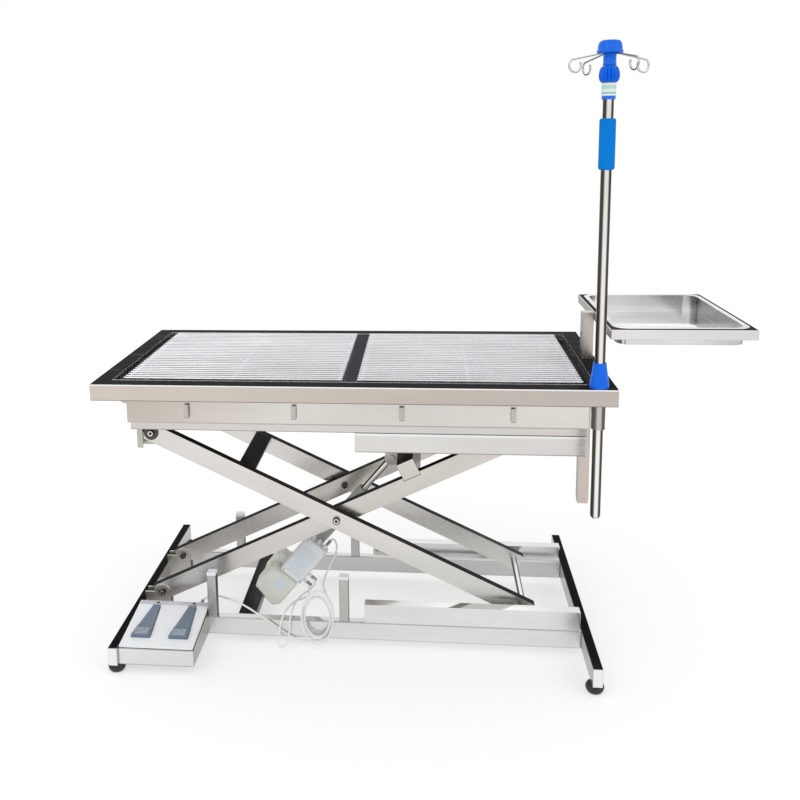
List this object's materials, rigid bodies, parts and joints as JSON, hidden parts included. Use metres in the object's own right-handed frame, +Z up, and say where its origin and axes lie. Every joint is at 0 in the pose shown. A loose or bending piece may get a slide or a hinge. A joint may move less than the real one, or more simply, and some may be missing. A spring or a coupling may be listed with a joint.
{
  "type": "veterinary exam table",
  "caption": "Stainless veterinary exam table on an electric scissor lift, with a grilled basin top, an infusion pole, an instrument tray and a foot switch",
  "frame": {"origin": "middle of the whole outline, on the floor under the feet, cords left out", "axes": "+X runs along the table from the foot switch end to the tray end, +Y from the foot switch side to the back, +Z up"},
  "size_m": [1.637, 0.7798, 1.5713],
  "materials": {
    "steel_front": "brushed stainless steel, long fine grain",
    "steel_rim": "stainless steel, top faces polished dark",
    "steel_rods": "polished stainless rods",
    "steel_tubes": "brushed stainless tube",
    "bolts": "plain bright bolts",
    "blue_plastic": "smooth blue moulding",
    "blue_foam": "soft closed-cell foam",
    "white_plastic": "fine-grained white moulding",
    "cream_plastic": "fine-grained cream moulding",
    "pedal_plastic": "ribbed slate-blue plastic",
    "black_rubber": "matt black rubber",
    "cord_white": "smooth white cord jacket"
  },
  "bodies": {
    "base": {"base_left_member": "steel_tubes", "base_right_member": "steel_tubes", "base_mid_member": "steel_tubes", "base_rails": "steel_tubes", "lower_tracks": "steel_tubes", "base_ears": "steel_front", "base_pivot_bolts": "bolts", "stop_posts": "steel_tubes", "stop_caps": "white_plastic", "feet": "black_rubber", "actuator_bracket": "steel_front", "switch_tray": "steel_rim", "switch_housing": "white_plastic", "cord_gland": "black_rubber", "switch_cord": "cord_white", "cord_coil": "cord_white", "control_lead": "cord_white", "motor_lead": "cord_white"},
    "pedal_left": {"pedal_left": "pedal_plastic"},
    "pedal_right": {"pedal_right": "pedal_plastic"},
    "inner_arms": {"inner_arms": "steel_tubes", "inner_cross_tube": "steel_tubes", "rod_ears": "bolts", "centre_bolts": "bolts", "upper_axle": "bolts"},
    "roller_upper_front": {"roller_upper_front": "steel_rods"},
    "roller_upper_back": {"roller_upper_back": "steel_rods"},
    "outer_arms": {"outer_arms": "steel_tubes", "outer_cross_tube": "steel_tubes", "lower_axle": "bolts"},
    "roller_lower_front": {"roller_lower_front": "steel_rods"},
    "roller_lower_back": {"roller_lower_back": "steel_rods"},
    "actuator": {"actuator_housing": "cream_plastic", "actuator_tube": "white_plastic", "control_box": "white_plastic"},
    "rod": {"actuator_rod": "steel_rods"},
    "table": {"table_frame": "steel_rim", "divider": "steel_rim", "basin": "steel_front", "tie_hooks": "steel_front", "upper_rails": "steel_tubes", "bearers": "steel_tubes", "upper_tracks": "steel_tubes", "table_ears": "steel_front", "table_pivot_bolts": "bolts", "pole_sleeve": "steel_tubes", "pole_cone": "blue_plastic", "tray_sleeve": "steel_tubes"},
    "grille_left": {"grille_left": "steel_rods"},
    "grille_right": {"grille_right": "steel_rods"},
    "pole": {"pole_tube": "steel_tubes", "pole_grip": "blue_foam", "pole_collar": "white_plastic"},
    "knob": {"twist_knob": "blue_plastic"},
    "mast": {"mast_rod": "steel_rods"},
    "head": {"hook_head": "blue_plastic", "pole_hooks": "steel_rods"},
    "tray": {"tray_post": "steel_tubes", "tray_frame": "steel_tubes"},
    "pan": {"tray_pan": "steel_front"}
  },
  "joints": [
    {"name": "lift", "type": "hinge", "parent": "base", "child": "inner_arms", "pos_m": [-0.7185, 0.00795, 0.1], "axis": [0, -1, 0], "range_deg": [-13.5, 14.5]},
    {"name": "scissor", "type": "hinge", "parent": "inner_arms", "child": "outer_arms", "pos_m": [-0.2153, 0.00795, 0.34], "axis": [0, -1, 0], "range_deg": [-29.1, 27.1]},
    {"name": "table_level", "type": "hinge", "parent": "outer_arms", "child": "table", "pos_m": [-0.7185, 0.00795, 0.58], "axis": [0, -1, 0], "range_deg": [-13.6, 14.6]},
    {"name": "actuator_pivot", "type": "hinge", "parent": "base", "child": "actuator", "pos_m": [-0.4035, 0.00795, 0.068], "axis": [0, -1, 0], "range_deg": [-18.12, 19.46], "deforming": ["control_lead", "motor_lead"]},
    {"name": "rod_stroke", "type": "slide", "parent": "actuator", "child": "rod", "axis": [0.6401, 0, 0.7683], "range_m": [-0.0613, 0.0658]},
    {"name": "upper_roller_front", "type": "hinge", "parent": "inner_arms", "child": "roller_upper_front", "pos_m": [0.28789, -0.18405, 0.58], "axis": [0, 1, 0], "continuous": true},
    {"name": "lower_roller_front", "type": "hinge", "parent": "outer_arms", "child": "roller_lower_front", "pos_m": [0.28789, -0.18405, 0.1], "axis": [0, 1, 0], "continuous": true},
    {"name": "upper_roller_back", "type": "hinge", "parent": "inner_arms", "child": "roller_upper_back", "pos_m": [0.28789, 0.19995, 0.58], "axis": [0, 1, 0], "continuous": true},
    {"name": "lower_roller_back", "type": "hinge", "parent": "outer_arms", "child": "roller_lower_back", "pos_m": [0.28789, 0.19995, 0.1], "axis": [0, 1, 0], "continuous": true},
    {"name": "press_left", "type": "hinge", "parent": "base", "child": "pedal_left", "pos_m": [-0.7205, -0.19051, 0.09424], "axis": [1, 0, 0], "range_deg": [0, 2.6], "stiffness_Nm_per_rad": 8, "springref_deg": -8.59},
    {"name": "press_right", "type": "hinge", "parent": "base", "child": "pedal_right", "pos_m": [-0.6195, -0.19051, 0.09424], "axis": [1, 0, 0], "range_deg": [0, 2.6], "stiffness_Nm_per_rad": 8, "springref_deg": -8.59},
    {"name": "lift_off_left_grille", "type": "slide", "parent": "table", "child": "grille_left", "axis": [0, 0, 1], "range_m": [0, 0.15]},
    {"name": "lift_off_right_grille", "type": "slide", "parent": "table", "child": "grille_right", "axis": [0, 0, 1], "range_m": [0, 0.15]},
    {"name": "pole_height", "type": "slide", "parent": "table", "child": "pole", "axis": [0, 0, 1], "range_m": [-0.1, 0.2]},
    {"name": "knob_turn", "type": "hinge", "parent": "pole", "child": "knob", "pos_m": [0.4395, -0.29205, 1.495], "axis": [0, 0, 1], "range_deg": [-90, 90]},
    {"name": "mast_height", "type": "slide", "parent": "pole", "child": "mast", "axis": [0, 0, 1], "range_m": [0, 0.34]},
    {"name": "head_turn", "type": "hinge", "parent": "mast", "child": "head", "pos_m": [0.4395, -0.29205, 1.553], "axis": [0, 0, 1], "continuous": true},
    {"name": "tray_height", "type": "slide", "parent": "table", "child": "tray", "axis": [0, 0, 1], "range_m": [-0.02, 0.15]},
    {"name": "lift_off_pan", "type": "slide", "parent": "tray", "child": "pan", "axis": [0, 0, 1], "range_m": [0, 0.1]}
  ],
  "couplings": [
    {"joint": "scissor", "follows": "lift", "ratio": -2},
    {"joint": "table_level", "follows": "lift", "ratio": 1},
    {"joint": "actuator_pivot", "follows": "lift", "ratio": 1.335},
    {"joint": "rod_stroke", "follows": "lift", "m_per_rad": 0.258}
  ]
}
